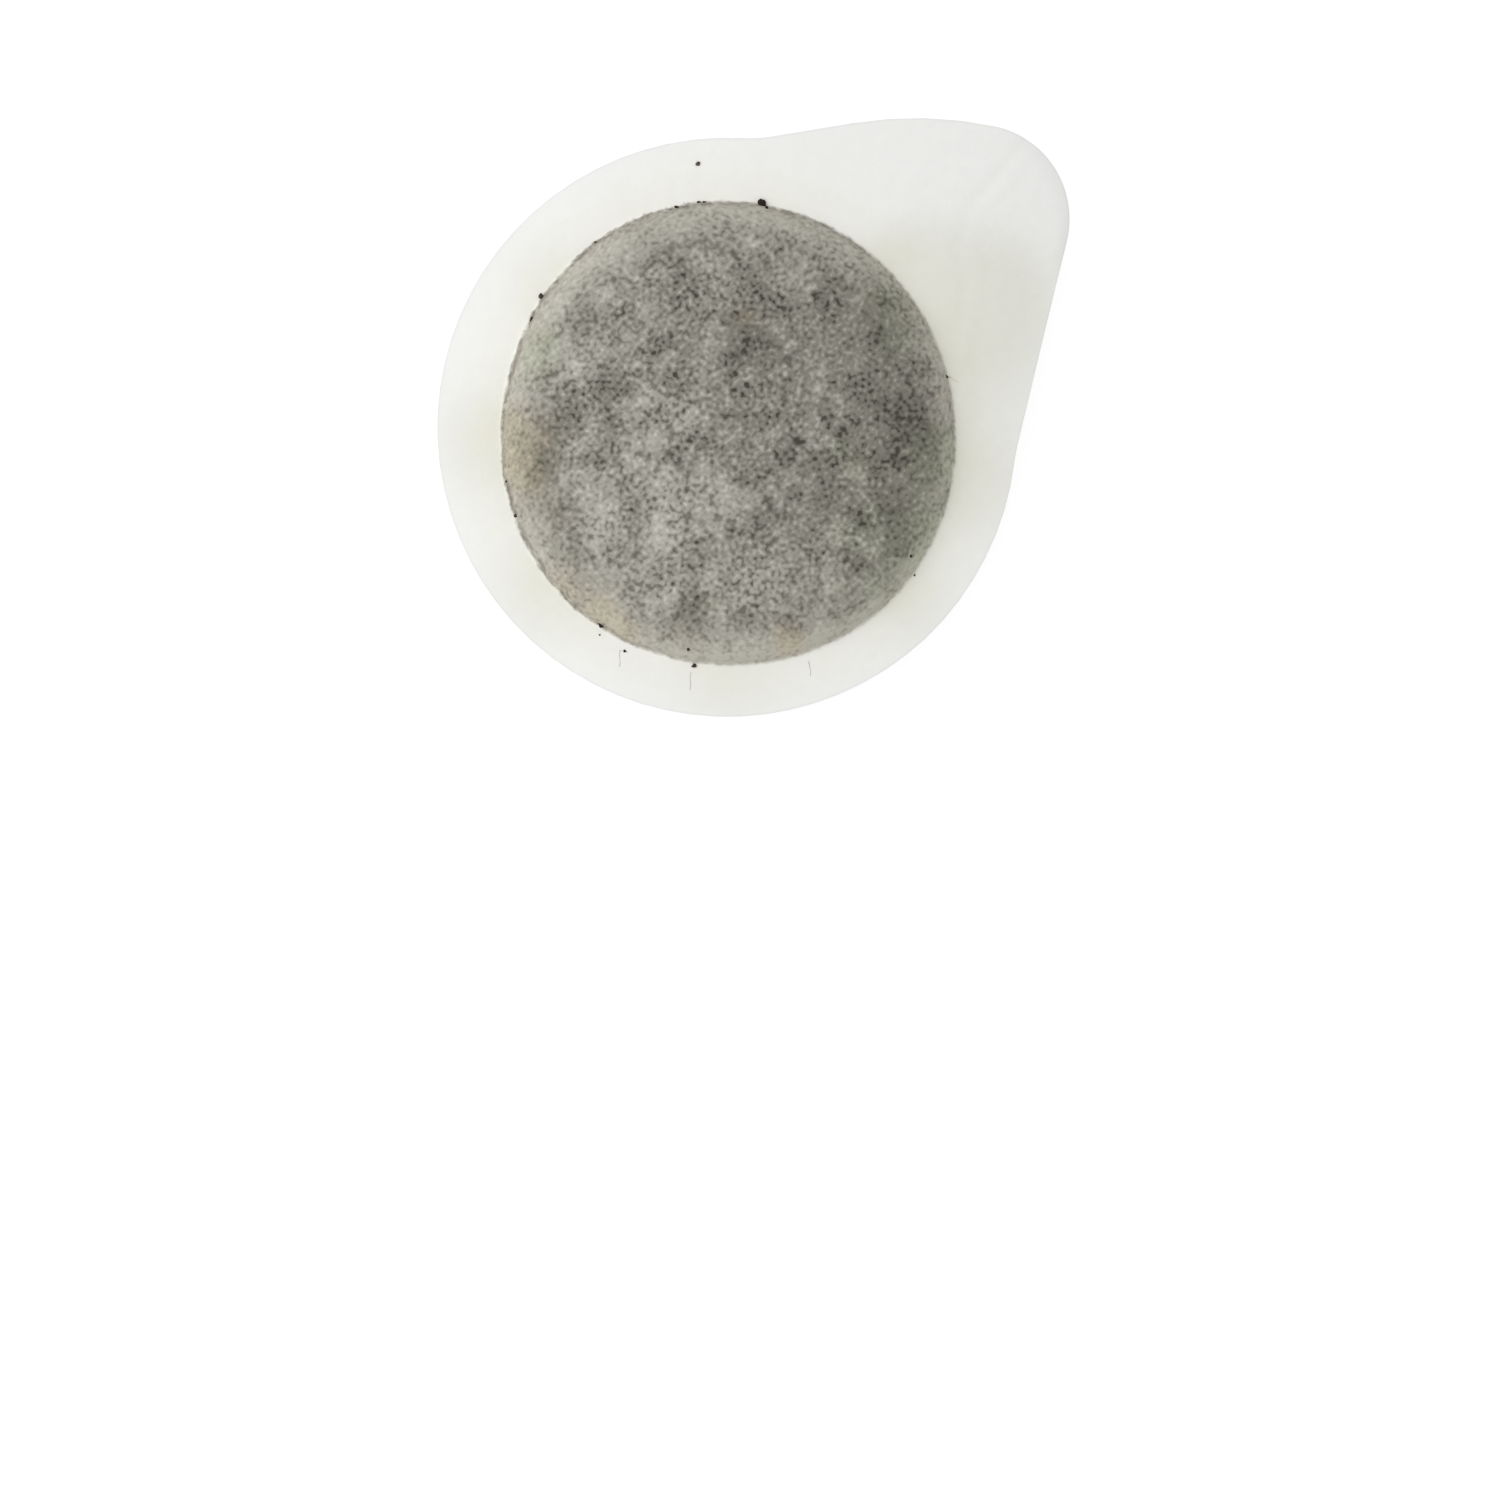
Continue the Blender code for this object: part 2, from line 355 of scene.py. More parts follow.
def new_effect(name, inputs, outputs):
    """A node group with named inputs (name, kind, value) and outputs (name, kind)."""
    group = bpy.data.node_groups.new(name, "ShaderNodeTree")
    for label, kind, value in inputs:
        socket = group.interface.new_socket(label, in_out="INPUT", socket_type=kind)
        if value is not None:
            socket.default_value = value
    for label, kind in outputs:
        group.interface.new_socket(label, in_out="OUTPUT", socket_type=kind)
    return group, group.nodes.new("NodeGroupInput").outputs, group.nodes.new("NodeGroupOutput").inputs


def place_effect(tree, group, inputs):
    return add(tree, "ShaderNodeGroup", inputs, node_tree=group).outputs


def noise_at(tree, where, size, detail=2.0, roughness=0.5, distortion=0.0):
    """Cloudy noise whose blobs are about size metres across."""
    inputs = {"Vector": where, "Scale": 1 / size, "Detail": detail, "Roughness": roughness}
    return add(tree, "ShaderNodeTexNoise", {**inputs, "Distortion": distortion})


# The pulp of the paper: cloudy mottle and the single long fibres that lie across each other
fibres, given, made = new_effect(
    "paper fibres",
    [("Vector", "NodeSocketVector", None)],
    [("Strands", "NodeSocketFloat"), ("Mottle", "NodeSocketFloat")],
)
strands = []
for turn, stretch in ((0.3, 1.0), (1.4, 1.6), (2.5, 1.3)):
    laid = add(fibres, "ShaderNodeMapping", {"Vector": given["Vector"], "Rotation": (0.0, 0.0, turn),
                                             "Scale": (1.0, 2.2 * stretch, 1.0)}).outputs[0]
    field = noise_at(fibres, laid, 0.0016 * stretch, detail=1.0, distortion=0.6).outputs["Fac"]
    away = reckon(fibres, "ABSOLUTE", reckon(fibres, "SUBTRACT", field, 0.5))
    strands.append(fade(fibres, away, 0.022, 0.004))
crossed = reckon(fibres, "MAXIMUM", reckon(fibres, "MAXIMUM", strands[0], strands[1]), strands[2])
fibres.links.new(crossed, made["Strands"])
pulp_mottle = noise_at(fibres, given["Vector"], 0.0012, detail=4.0, roughness=0.6).outputs["Fac"]
fibres.links.new(pulp_mottle, made["Mottle"])


def packed(tree, where, size, middle, edge, rare):
    """Grains lying side by side, 1 in the middle of a grain and 0 between grains. Some are fainter than
    others, and the share rare of them doesn't show at all."""
    cells = add(tree, "ShaderNodeTexVoronoi", {"Vector": where, "Scale": 1 / size})
    chance = add(tree, "ShaderNodeSeparateColor", {"Color": cells.outputs["Color"]}).outputs["Red"]
    strength = fade(tree, chance, rare, 1.0)
    return reckon(tree, "MULTIPLY", strength, fade(tree, cells.outputs["Distance"], edge, middle))


def about_zero(tree, value, strength):
    """A noise value from 0 to 1, turned into a change of up to half the strength either way."""
    return reckon(tree, "MULTIPLY", reckon(tree, "SUBTRACT", value, 0.5), strength)


# Ground coffee that lies against the paper: grains, clumps and thin places, as a lightness from 0 to 1
grounds, given, made = new_effect(
    "coffee behind paper",
    [("Vector", "NodeSocketVector", None), ("Contact", "NodeSocketFloat", 1.0)],
    [("Lightness", "NodeSocketFloat"), ("Grains", "NodeSocketFloat")],
)
swirl = noise_at(grounds, given["Vector"], 0.0004, detail=1.0).outputs["Color"]
push = add(grounds, "ShaderNodeVectorMath", {0: swirl, 1: (0.5, 0.5, 0.5)}, operation="SUBTRACT").outputs[0]
push = add(grounds, "ShaderNodeVectorMath", {0: push, "Scale": 0.00019}, operation="SCALE").outputs[0]
strewn = add(grounds, "ShaderNodeVectorMath", {0: given["Vector"], 1: push}, operation="ADD").outputs[0]
fine = noise_at(grounds, given["Vector"], 0.00045, detail=0.0).outputs["Fac"]
clumps = noise_at(grounds, given["Vector"], 0.0027, detail=1.5).outputs["Fac"]
clouds = noise_at(grounds, given["Vector"], 0.0070, detail=1.0).outputs["Fac"]
grains = reckon(grounds, "MULTIPLY", fade(grounds, fine, 0.46, 0.24), 0.30)
grains = reckon(grounds, "MULTIPLY_ADD", packed(grounds, strewn, 0.00062, 0.10, 0.60, 0.0), 0.36, grains)
grains = reckon(grounds, "MULTIPLY_ADD", packed(grounds, strewn, 0.0011, 0.15, 0.62, 0.45), 0.14, grains)
grains = reckon(grounds, "MULTIPLY", grains, fade(grounds, clumps, 0.66, 0.36, 0.35, 1.0))
rough = reckon(grounds, "SUBTRACT", 0.11, grains)
rough = reckon(grounds, "ADD", rough, about_zero(grounds, fine, 0.24))
rough = reckon(grounds, "ADD", rough, about_zero(grounds, clumps, 0.74))
rough = reckon(grounds, "MULTIPLY_ADD", fade(grounds, fine, 0.60, 0.80), 0.12, rough)
level = reckon(grounds, "MULTIPLY_ADD", rough, given["Contact"], 0.463)
level = reckon(grounds, "ADD", level, about_zero(grounds, fine, 0.15))
grounds.links.new(reckon(grounds, "ADD", level, about_zero(grounds, clouds, 0.14)), made["Lightness"])
grounds.links.new(grains, made["Grains"])


DOSE_SHIFT = (0.0007, -0.00065, 0.0)     # the dose lies a little off the cup's axis
DUST_SIDE = math.radians(112)            # coffee dust lies thickest in the crease on this side
PAINTED_LIGHT_SIDE = math.radians(-88)          # the crown's shoulder is painted lighter on this side, away from the lamp, and darker on the far side
DUST_LINE = 0.02170                      # circle on which the dust lies, along the section
COVER_START = 0.02222                    # coffee shows from here inwards, and fully from the next circle
COVER_FULL = 0.02163


def filter_paper(name):
    """Filter paper, white where it is bare and grey where the coffee lies against its other side, with light
    and shade painted in on the crown, its shoulder and the collar by the cap.
    """
    material, tree, shader = new_material(name)
    shader["Specular IOR Level"].default_value = 0.25
    where = add(tree, "ShaderNodeTexCoord", {}).outputs["Object"]
    flat = add(tree, "ShaderNodeVectorMath", {0: where, 1: (1.0, 1.0, 0.0)}, operation="MULTIPLY").outputs[0]
    radius = add(tree, "ShaderNodeAttribute", {}, attribute_name="section").outputs["Fac"]
    waver = noise_at(tree, where, 0.003, detail=3.0).outputs["Fac"]
    jagged = noise_at(tree, where, 0.0009, detail=2.0).outputs["Fac"]
    radius = reckon(tree, "ADD", radius, about_zero(tree, waver, 0.0005))
    radius = reckon(tree, "ADD", radius, about_zero(tree, jagged, 0.0006))
    leaning = add(tree, "ShaderNodeVectorMath", {0: flat, 1: DOSE_SHIFT}, operation="SUBTRACT").outputs[0]
    spread = add(tree, "ShaderNodeVectorMath", {0: leaning}, operation="LENGTH").outputs["Value"]
    spread = reckon(tree, "ADD", spread, about_zero(tree, waver, 0.0035))
    contact = fade(tree, spread, 0.0218, 0.0150, 0.42, 0.95)
    coffee = place_effect(tree, grounds, {"Vector": where, "Contact": contact})
    pulp = place_effect(tree, fibres, {"Vector": where})
    # Spots stored with the paper: dose that lies thick or thin, and on the crown also painted light and
    # shade, lighter on the lamp's side and darker away from it.
    dose_and_painted_light = add(tree, "ShaderNodeAttribute", {}, attribute_name="dose_and_painted_light").outputs["Fac"]
    lightness = reckon(tree, "ADD", coffee["Lightness"], dose_and_painted_light)
    lightness = reckon(tree, "ADD", lightness, fade(tree, radius, 0.0172, 0.0217, 0.0, 0.34))
    # Painted light and shade on the shoulder: lighter on the side away from the lamp, darker on the side
    # facing it.
    away = (math.cos(PAINTED_LIGHT_SIDE), math.sin(PAINTED_LIGHT_SIDE), 0.0)
    shoulder_painted_light = add(tree, "ShaderNodeVectorMath", {0: flat, 1: away}, operation="DOT_PRODUCT").outputs["Value"]
    shoulder_painted_light = reckon(tree, "MULTIPLY_ADD", shoulder_painted_light, 4.6, 0.05)
    lightness = reckon(tree, "MULTIPLY_ADD", shoulder_painted_light, fade(tree, radius, 0.0200, 0.0216), lightness)
    lightness = reckon(tree, "MULTIPLY_ADD", pulp["Strands"], 0.08, lightness)
    shown = colour_ramp(tree, lightness, [
        (0.0, (0.060, 0.055, 0.044)),
        (0.5, (0.233, 0.221, 0.188)),
        (1.0, (0.542, 0.523, 0.466)),
    ])
    outer = fade(tree, radius, 0.0185, 0.0208)
    shown = mix_colours(tree, outer, shown, (1.004, 1.0, 0.980, 1.0), "MULTIPLY")
    stain = add(tree, "ShaderNodeAttribute", {}, attribute_name="stain").outputs["Fac"]
    shown = mix_colours(tree, fade(tree, stain, 0.0, 1.0), shown, (1.04, 0.99, 0.89, 1.0), "MULTIPLY")
    shown = mix_colours(tree, fade(tree, stain, 0.0, -1.0), shown, (0.965, 1.01, 0.935, 1.0), "MULTIPLY")
    mottle = fade(tree, pulp["Mottle"], 0.25, 0.75, 0.985, 1.008)
    bare = mix_colours(tree, 1.0, PAPER_WHITE, mottle, "MULTIPLY")
    margin = add(tree, "ShaderNodeAttribute", {}, attribute_name="margin").outputs["Fac"]
    bare = mix_colours(tree, fade(tree, margin, 0.00035, 0.0), bare, (0.95, 0.95, 0.965, 1.0), "MULTIPLY")
    # A yellow-grey tint on the collar near the cap: partly coffee dust, partly painted shade at the foot of
    # the cap.
    dust_and_shade = fade(tree, waver, 0.30, 0.60, 0.50, 1.0)
    dust_and_shade = reckon(tree, "MULTIPLY", fade(tree, radius, 0.0275, 0.0222), dust_and_shade)
    bare = mix_colours(tree, dust_and_shade, bare, (0.988, 0.981, 0.935, 1.0), "MULTIPLY")
    # Painted shade and shadow on the collar next to the cap and by the tab's fold, stored as spots.
    painted_shade = add(tree, "ShaderNodeAttribute", {}, attribute_name="painted_shade").outputs["Fac"]
    bare = mix_colours(tree, fade(tree, painted_shade, 0.0, 1.0), bare, (0.89, 0.89, 0.83, 1.0), "MULTIPLY")
    cover = fade(tree, radius, COVER_START, COVER_FULL)
    colour = mix_colours(tree, cover, bare, shown)
    side = (math.cos(DUST_SIDE), math.sin(DUST_SIDE), 0.0)
    facing = add(tree, "ShaderNodeVectorMath", {0: flat, 1: side}, operation="DOT_PRODUCT").outputs["Value"]
    patchy = noise_at(tree, where, 0.0016, detail=3.0, roughness=0.7).outputs["Fac"]
    off_line = reckon(tree, "ABSOLUTE", reckon(tree, "SUBTRACT", radius, DUST_LINE))
    line = reckon(tree, "MULTIPLY", fade(tree, off_line, 0.00040, 0.00004), fade(tree, patchy, 0.38, 0.62))
    specks = packed(tree, where, 0.0005, 0.12, 0.44, 0.5)
    specks = reckon(tree, "MULTIPLY", specks, fade(tree, off_line, 0.0006, 0.0002, 0.0, 0.9))
    line = reckon(tree, "MAXIMUM", line, specks)
    line = reckon(tree, "MULTIPLY", line, fade(tree, facing, -0.012, 0.014, 0.12, 0.72))
    colour = mix_colours(tree, line, colour, (0.165, 0.135, 0.108, 1.0))
    tree.links.new(colour, shader["Base Color"])
    tree.links.new(fade(tree, pulp["Mottle"], 0.2, 0.8, 0.82, 0.95), shader["Roughness"])
    height = reckon(tree, "MULTIPLY", pulp["Mottle"], 0.4)
    height = reckon(tree, "MULTIPLY_ADD", pulp["Strands"], 0.30, height)
    height = reckon(tree, "MULTIPLY_ADD", reckon(tree, "MULTIPLY", coffee["Grains"], cover), 0.25, height)
    bump = add(tree, "ShaderNodeBump", {"Strength": 0.30, "Distance": 0.00005, "Height": height})
    tree.links.new(bump.outputs["Normal"], shader["Normal"])
    return material


def finish_paper(piece, node):
    piece.data.materials.append(filter_paper(node.replace("_", " ")))
    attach(piece, "root")
    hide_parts(node)


cup = half_section(
    "lower_paper",
    [(0.0, PAPER), (CREASE_RADIUS - CUP_WALL_RUN, PAPER), (CREASE_RADIUS, SEAM_HEIGHT),
     (COLLAR_EDGE, SEAM_HEIGHT)],
    {1: CUP_CORNER_RADIUS, 2: CREASE_BEND},
    {0: 17, 1: 14, 2: 22},
)
spin_round(cup, upward=False)
form_paper(cup, "lower_filter_paper", False, 84, 0.00056, 0.0190)
soft_spots(cup, "dose_and_painted_light", [
    (0.0060, 0.0040, 0.0060, 0.08),
    (-0.0080, -0.0070, 0.0050, -0.08),
    (0.0, -0.0140, 0.0040, 0.06),
])
soft_spots(cup, "stain", [
    (-0.0060, 0.0090, 0.0050, 0.8),
    (0.0120, -0.0040, 0.0040, -0.7),
    (-0.0110, -0.0090, 0.0035, 0.5),
])
thicken(cup)
finish_paper(cup, "lower_filter_paper")


# Coffee puck
# The dose of ground coffee, dropped into the cup and tamped. It is dark brown and granular, and only the two
# papers round it hold it together.
puck = frame["nodes"]["coffee_puck"]
coffee_material, coffee_tree, coffee_shader = new_material("pressed ground coffee")
coffee_place = add(coffee_tree, "ShaderNodeTexCoord", {}).outputs["Object"]
coffee_grains = place_effect(coffee_tree, grounds, {"Vector": coffee_place, "Contact": 1.0})
coffee_colour = colour_ramp(coffee_tree, coffee_grains["Lightness"], [
    (0.0, (0.012, 0.007, 0.004)),
    (0.5, (0.045, 0.028, 0.018)),
    (1.0, (0.120, 0.075, 0.045)),
])
coffee_tree.links.new(coffee_colour, coffee_shader["Base Color"])
coffee_gloss = fade(coffee_tree, coffee_grains["Grains"], 0.0, 1.0, 0.9, 0.6)
coffee_tree.links.new(coffee_gloss, coffee_shader["Roughness"])
coffee_bump = add(coffee_tree, "ShaderNodeBump", {"Strength": 0.8, "Distance": 0.0002,
                                                  "Height": coffee_grains["Grains"]})
coffee_tree.links.new(coffee_bump.outputs["Normal"], coffee_shader["Normal"])
puck.data.materials.clear()
puck.data.materials.append(coffee_material)


# Upper filter paper
# The covering web of filter paper, pressed into a low cap over the coffee. It is heat-sealed face to face to
# the lower paper all over the collar and tab, before one die cuts both.
CAP_WALL_RUN = 0.0017
CAP_SHOULDER_RADIUS = 0.0042
CROWN_SWELL = 0.0009         # how much higher the middle of the crown is than a flat one
DOSE_AND_PAINTED_LIGHT = [            # where the dose lies thick (dark) or thin (pale) under the crown, mixed with painted light and shade: lighter on the lamp's side, darker away from it
    (0.0122, -0.0120, 0.0036, -0.25),
    (0.0068, -0.0168, 0.0036, -0.21),
    (0.0175, -0.0005, 0.0046, -0.17),
    (0.0165, -0.0052, 0.0036, -0.09),
    (0.0100, -0.0052, 0.0030, -0.05),
    (0.0083, 0.0048, 0.0026, -0.08),
    (0.0070, 0.0056, 0.0033, -0.20),
    (0.0039, 0.0131, 0.0026, -0.08),
    (0.0132, -0.0078, 0.0028, -0.12),
    (0.0022, -0.0109, 0.0026, -0.17),
    (-0.0018, -0.0109, 0.0020, -0.14),
    (0.0072, 0.0002, 0.0030, -0.06),
    (-0.0004, 0.0129, 0.0020, -0.06),
    (-0.0063, 0.0100, 0.0030, -0.08),
    (0.0012, 0.0012, 0.0022, -0.08),
    (0.0090, -0.0060, 0.0140, -0.05),
    (-0.0150, 0.0125, 0.0040, -0.07),
    (-0.0175, 0.0081, 0.0022, -0.09),
    (-0.0200, 0.0000, 0.0040, -0.09),
    (0.0015, -0.0195, 0.0030, -0.12),
    (0.0142, -0.0134, 0.0032, -0.06),
    (-0.0150, -0.0110, 0.0040, -0.05),
    (-0.0076, -0.0013, 0.0028, 0.15),
    (-0.0052, -0.0042, 0.0022, 0.12),
    (-0.0107, -0.0025, 0.0022, 0.20),
    (-0.0150, 0.0018, 0.0022, 0.22),
    (-0.0088, 0.0040, 0.0026, 0.10),
    (-0.0172, -0.0008, 0.0020, 0.09),
    (-0.0149, -0.0069, 0.0024, 0.19),
    (-0.0087, -0.0123, 0.0030, 0.18),
    (-0.0031, 0.0057, 0.0029, 0.18),
    (0.0068, -0.0063, 0.0026, 0.07),
    (-0.0070, 0.0148, 0.0030, 0.19),
    (-0.0172, -0.0012, 0.0040, 0.09),
    (-0.0172, -0.0056, 0.0026, 0.10),
    (-0.0044, -0.0002, 0.0020, -0.07),
    (0.0043, 0.0001, 0.0020, 0.06),
    (-0.0006, -0.0142, 0.0022, 0.05),
    (-0.0130, -0.0008, 0.0022, -0.12),
    (0.0125, 0.0133, 0.0042, 0.07),
    (0.0084, 0.0092, 0.0030, 0.06),
    (0.0038, 0.0044, 0.0022, 0.06),
    (0.0185, 0.0036, 0.0030, 0.09),
    (0.0038, 0.0168, 0.0028, 0.12),
    (-0.0142, -0.0151, 0.0040, 0.08),
    (0.0106, -0.0170, 0.0026, -0.05),
    (-0.0006, 0.0188, 0.0040, 0.06),
]
STAINS = [                    # where the coffee's oil tints the paper brown (above 0) or olive (below 0)
    (-0.0143, 0.0146, 0.0022, 0.7),
    (-0.0166, 0.0116, 0.0024, 0.9),
    (-0.0166, 0.0090, 0.0020, 0.5),
    (-0.0132, 0.0116, 0.0018, 0.5),
    (-0.0212, 0.0002, 0.0020, 0.6),
    (-0.0204, -0.0040, 0.0020, 0.8),
    (-0.0200, -0.0070, 0.0016, 0.7),
    (-0.0160, -0.0114, 0.0020, 0.5),
    (-0.0092, -0.0182, 0.0020, 1.1),
    (0.0085, 0.0067, 0.0009, 0.9),
    (0.0169, -0.0115, 0.0014, 0.5),
    (-0.0085, 0.0173, 0.0020, -1.0),
    (-0.0063, 0.0184, 0.0016, -0.7),
    (0.0193, -0.0010, 0.0026, -0.7),
    (0.0172, -0.0045, 0.0024, -0.7),
    (0.0071, -0.0196, 0.0018, -1.0),
    (0.0040, -0.0203, 0.0016, -0.8),
    (0.0003, -0.0205, 0.0016, -0.6),
    (0.0064, -0.0090, 0.0022, -0.5),
    (0.0133, -0.0153, 0.0028, -0.6),
    (0.0030, -0.0156, 0.0028, -0.5),
    (-0.0114, 0.0072, 0.0016, -0.4),
    (0.0095, -0.0160, 0.0075, -0.5),
    (-0.0040, -0.0180, 0.0050, -0.4),
    (-0.0125, -0.0110, 0.0040, -0.4),
    (-0.0180, 0.0052, 0.0020, 0.3),
]
PAINTED_SHADE_SPOTS = [               # where shade is painted grey on the collar: at the foot of the cap all round, most where the cap's shadow falls on the side away from the lamp, and by the tab's fold
    (0.0240, -0.0090, 0.0075, 1.0),
    (0.0135, -0.0187, 0.0060, 0.8),
    (0.0014, -0.0232, 0.0050, 0.62),
    (-0.0167, 0.0148, 0.0060, 0.78),
    (-0.0234, 0.0014, 0.0060, 0.62),
    (-0.0024, 0.0225, 0.0050, 0.50),
    (-0.0160, -0.0170, 0.0060, 0.50),
    (0.0230, 0.0020, 0.0030, 0.45),
    (0.0290, -0.0070, 0.0050, 0.5),
    (0.0262, 0.0005, 0.0040, 0.4),
]
POD_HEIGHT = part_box("upper_filter_paper")[1].z
crown_height = POD_HEIGHT - PAPER - CROWN_SWELL

cap = half_section(
    "upper_paper",
    [(0.0, crown_height), (CREASE_RADIUS - CAP_WALL_RUN, crown_height), (CREASE_RADIUS, SEAM_HEIGHT),
     (COLLAR_EDGE, SEAM_HEIGHT)],
    {1: CAP_SHOULDER_RADIUS, 2: CREASE_BEND},
    {0: 24, 1: 3, 2: 22},
)
spin_round(cap, upward=True)
swollen = read_points(cap)
outward_share = np.clip(np.hypot(swollen[:, 0], swollen[:, 1]) / CREASE_RADIUS, 0, 1)
upward_share = (swollen[:, 2] - SEAM_HEIGHT) / (crown_height - SEAM_HEIGHT)
swollen[:, 2] += CROWN_SWELL * upward_share * (1 - outward_share ** 2)
write_points(cap, swollen)
form_paper(cap, "upper_filter_paper", True, 90, 0.00009, 0.0185)
soft_spots(cap, "dose_and_painted_light", DOSE_AND_PAINTED_LIGHT)
soft_spots(cap, "stain", STAINS)
soft_spots(cap, "painted_shade", PAINTED_SHADE_SPOTS)
thicken(cap)
finish_paper(cap, "upper_filter_paper")


# Loose coffee
# Grains spilt while the pods were filled. They are single chips of roasted bean, caught in the crease and
# lying on the collar, so each is an angular little solid that rests on the upper paper.
LOOSE_GRAINS = [              # (x, y, length, width, direction in degrees)
    (0.01553, 0.02081, 0.00048, 0.00044, 20),
    (0.01735, 0.01386, 0.00088, 0.00082, 130),
    (0.01737, 0.01318, 0.00040, 0.00034, 60),
    (0.01305, 0.01805, 0.00046, 0.00026, 140),
    (0.01345, 0.01770, 0.00036, 0.00024, 120),
    (0.01118, 0.01912, 0.00050, 0.00034, 130),
    (0.00323, 0.02202, 0.00030, 0.00024, 170),
    (-0.00410, 0.02185, 0.00054, 0.00050, 80),
    (-0.00630, 0.02082, 0.00064, 0.00028, 30),
    (-0.01860, 0.01117, 0.00030, 0.00026, 10),
    (-0.02021, 0.00818, 0.00046, 0.00040, 10),
    (-0.02146, -0.00505, 0.00066, 0.00040, 100),
    (-0.02215, -0.00560, 0.00022, 0.00018, 30),
    (-0.02148, -0.00835, 0.00030, 0.00026, 110),
    (-0.01758, -0.01392, 0.00050, 0.00044, 150),
    (-0.01693, -0.01244, 0.00040, 0.00034, 45),
    (0.00460, -0.02048, 0.00034, 0.00028, 95),
    (0.00369, -0.02203, 0.00026, 0.00020, 20),
    (0.01890, -0.01030, 0.00044, 0.00028, 100),
]
GRAIN_HEIGHT_SHARE = 0.6      # a chip's height, as a share of its width
GRAIN_SUNK = 0.00004          # how far a chip has bedded into the soft paper
GRAIN_ROUGHNESS = 0.55        # how far the ball's points are pushed in and out
FINE_ROUGHNESS = 0.45         # share of that in small dents


def surface_height(x, y):
    """Height of the upper paper's top face."""
    return cap.ray_cast(Vector((x, y, 2 * POD_HEIGHT)), Vector((0.0, 0.0, -1.0)))[1].z


deselect_all()
bpy.ops.mesh.primitive_ico_sphere_add(subdivisions=3, radius=0.5)
ball = bpy.context.object


def make_chip(number, x, y, length, width, turn):
    """One chip: a copy of the ball with its points pushed in and out, then squashed and laid down."""
    deselect_all()
    chip = bpy.data.objects.new(f"loose_grain_{number:02d}", ball.data.copy())
    chip.data.name = chip.name
    bpy.context.scene.collection.objects.link(chip)
    bpy.context.view_layer.objects.active = chip
    chip.select_set(True)
    for vertex in chip.data.vertices:
        offset = noise.noise(vertex.co * 2.2 + Vector((7.3 * number, 0, 0)))
        offset += FINE_ROUGHNESS * noise.noise(vertex.co * 6.0 + Vector((0, 5.1 * number, 0)))
        vertex.co *= 1 + GRAIN_ROUGHNESS * offset
    chip.data.update()
    bpy.context.view_layer.update()
    height = width * GRAIN_HEIGHT_SHARE
    chip.dimensions = (length, width, height)
    chip.rotation_euler = (0.0, 0.0, math.radians(turn))
    chip.location = (x, y, surface_height(x, y) + height / 2 - GRAIN_SUNK)
    bpy.ops.object.transform_apply(location=True, rotation=True, scale=True)
    bpy.ops.object.shade_smooth_by_angle(angle=math.radians(35))
    return chip


roast, roast_tree, roast_shader = new_material("roasted coffee")
roast_shader["Specular IOR Level"].default_value = 0.15
roast_place = add(roast_tree, "ShaderNodeTexCoord", {}).outputs["Object"]
roast_grain = noise_at(roast_tree, roast_place, 0.00015, detail=3.0, roughness=0.65).outputs["Fac"]
roast_shade = noise_at(roast_tree, roast_place, 0.0060, detail=0.0).outputs["Fac"]
roast_depth = reckon(roast_tree, "ADD", roast_grain, fade(roast_tree, roast_shade, 0.45, 0.75, 0.0, 0.35))
roast_colour = colour_ramp(roast_tree, roast_depth, [
    (0.30, (0.005, 0.003, 0.002)),
    (0.70, (0.034, 0.021, 0.014)),
    (1.00, (0.160, 0.120, 0.085)),
])
roast_tree.links.new(roast_colour, roast_shader["Base Color"])
roast_tree.links.new(fade(roast_tree, roast_grain, 0.3, 0.7, 0.75, 0.45), roast_shader["Roughness"])
roast_bump = add(roast_tree, "ShaderNodeBump", {"Strength": 0.6, "Distance": 0.00005, "Height": roast_grain})
roast_tree.links.new(roast_bump.outputs["Normal"], roast_shader["Normal"])
for number, sizes in enumerate(LOOSE_GRAINS, 1):
    chip = make_chip(number, *sizes)
    chip.data.materials.append(roast)
    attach(chip, "root")
bpy.data.meshes.remove(ball.data)   # the ball was only the pattern


# Stray fibres
# A few long fibres of the pulp have lifted off the paper near the crease, stained by the coffee dust. Each
# is one thin curved strand lying on the collar.
FIBRE_RADIUS = 0.000022
STRAY_FIBRES = [              # each a line of places on the upper paper
    [(-0.02178, -0.00800), (-0.02210, -0.00828), (-0.02240, -0.00866), (-0.02285, -0.00912)],
    [(-0.02176, -0.00798), (-0.02158, -0.00822), (-0.02140, -0.00840), (-0.02138, -0.00866)],
    [(-0.01823, -0.01416), (-0.01868, -0.01450), (-0.01900, -0.01492), (-0.01946, -0.01533)],
    [(-0.00930, -0.02110), (-0.00960, -0.02152), (-0.00980, -0.02190), (-0.01020, -0.02224)],
    [(0.01885, -0.01022), (0.01915, -0.01062), (0.01922, -0.01104), (0.01937, -0.01137)],
]

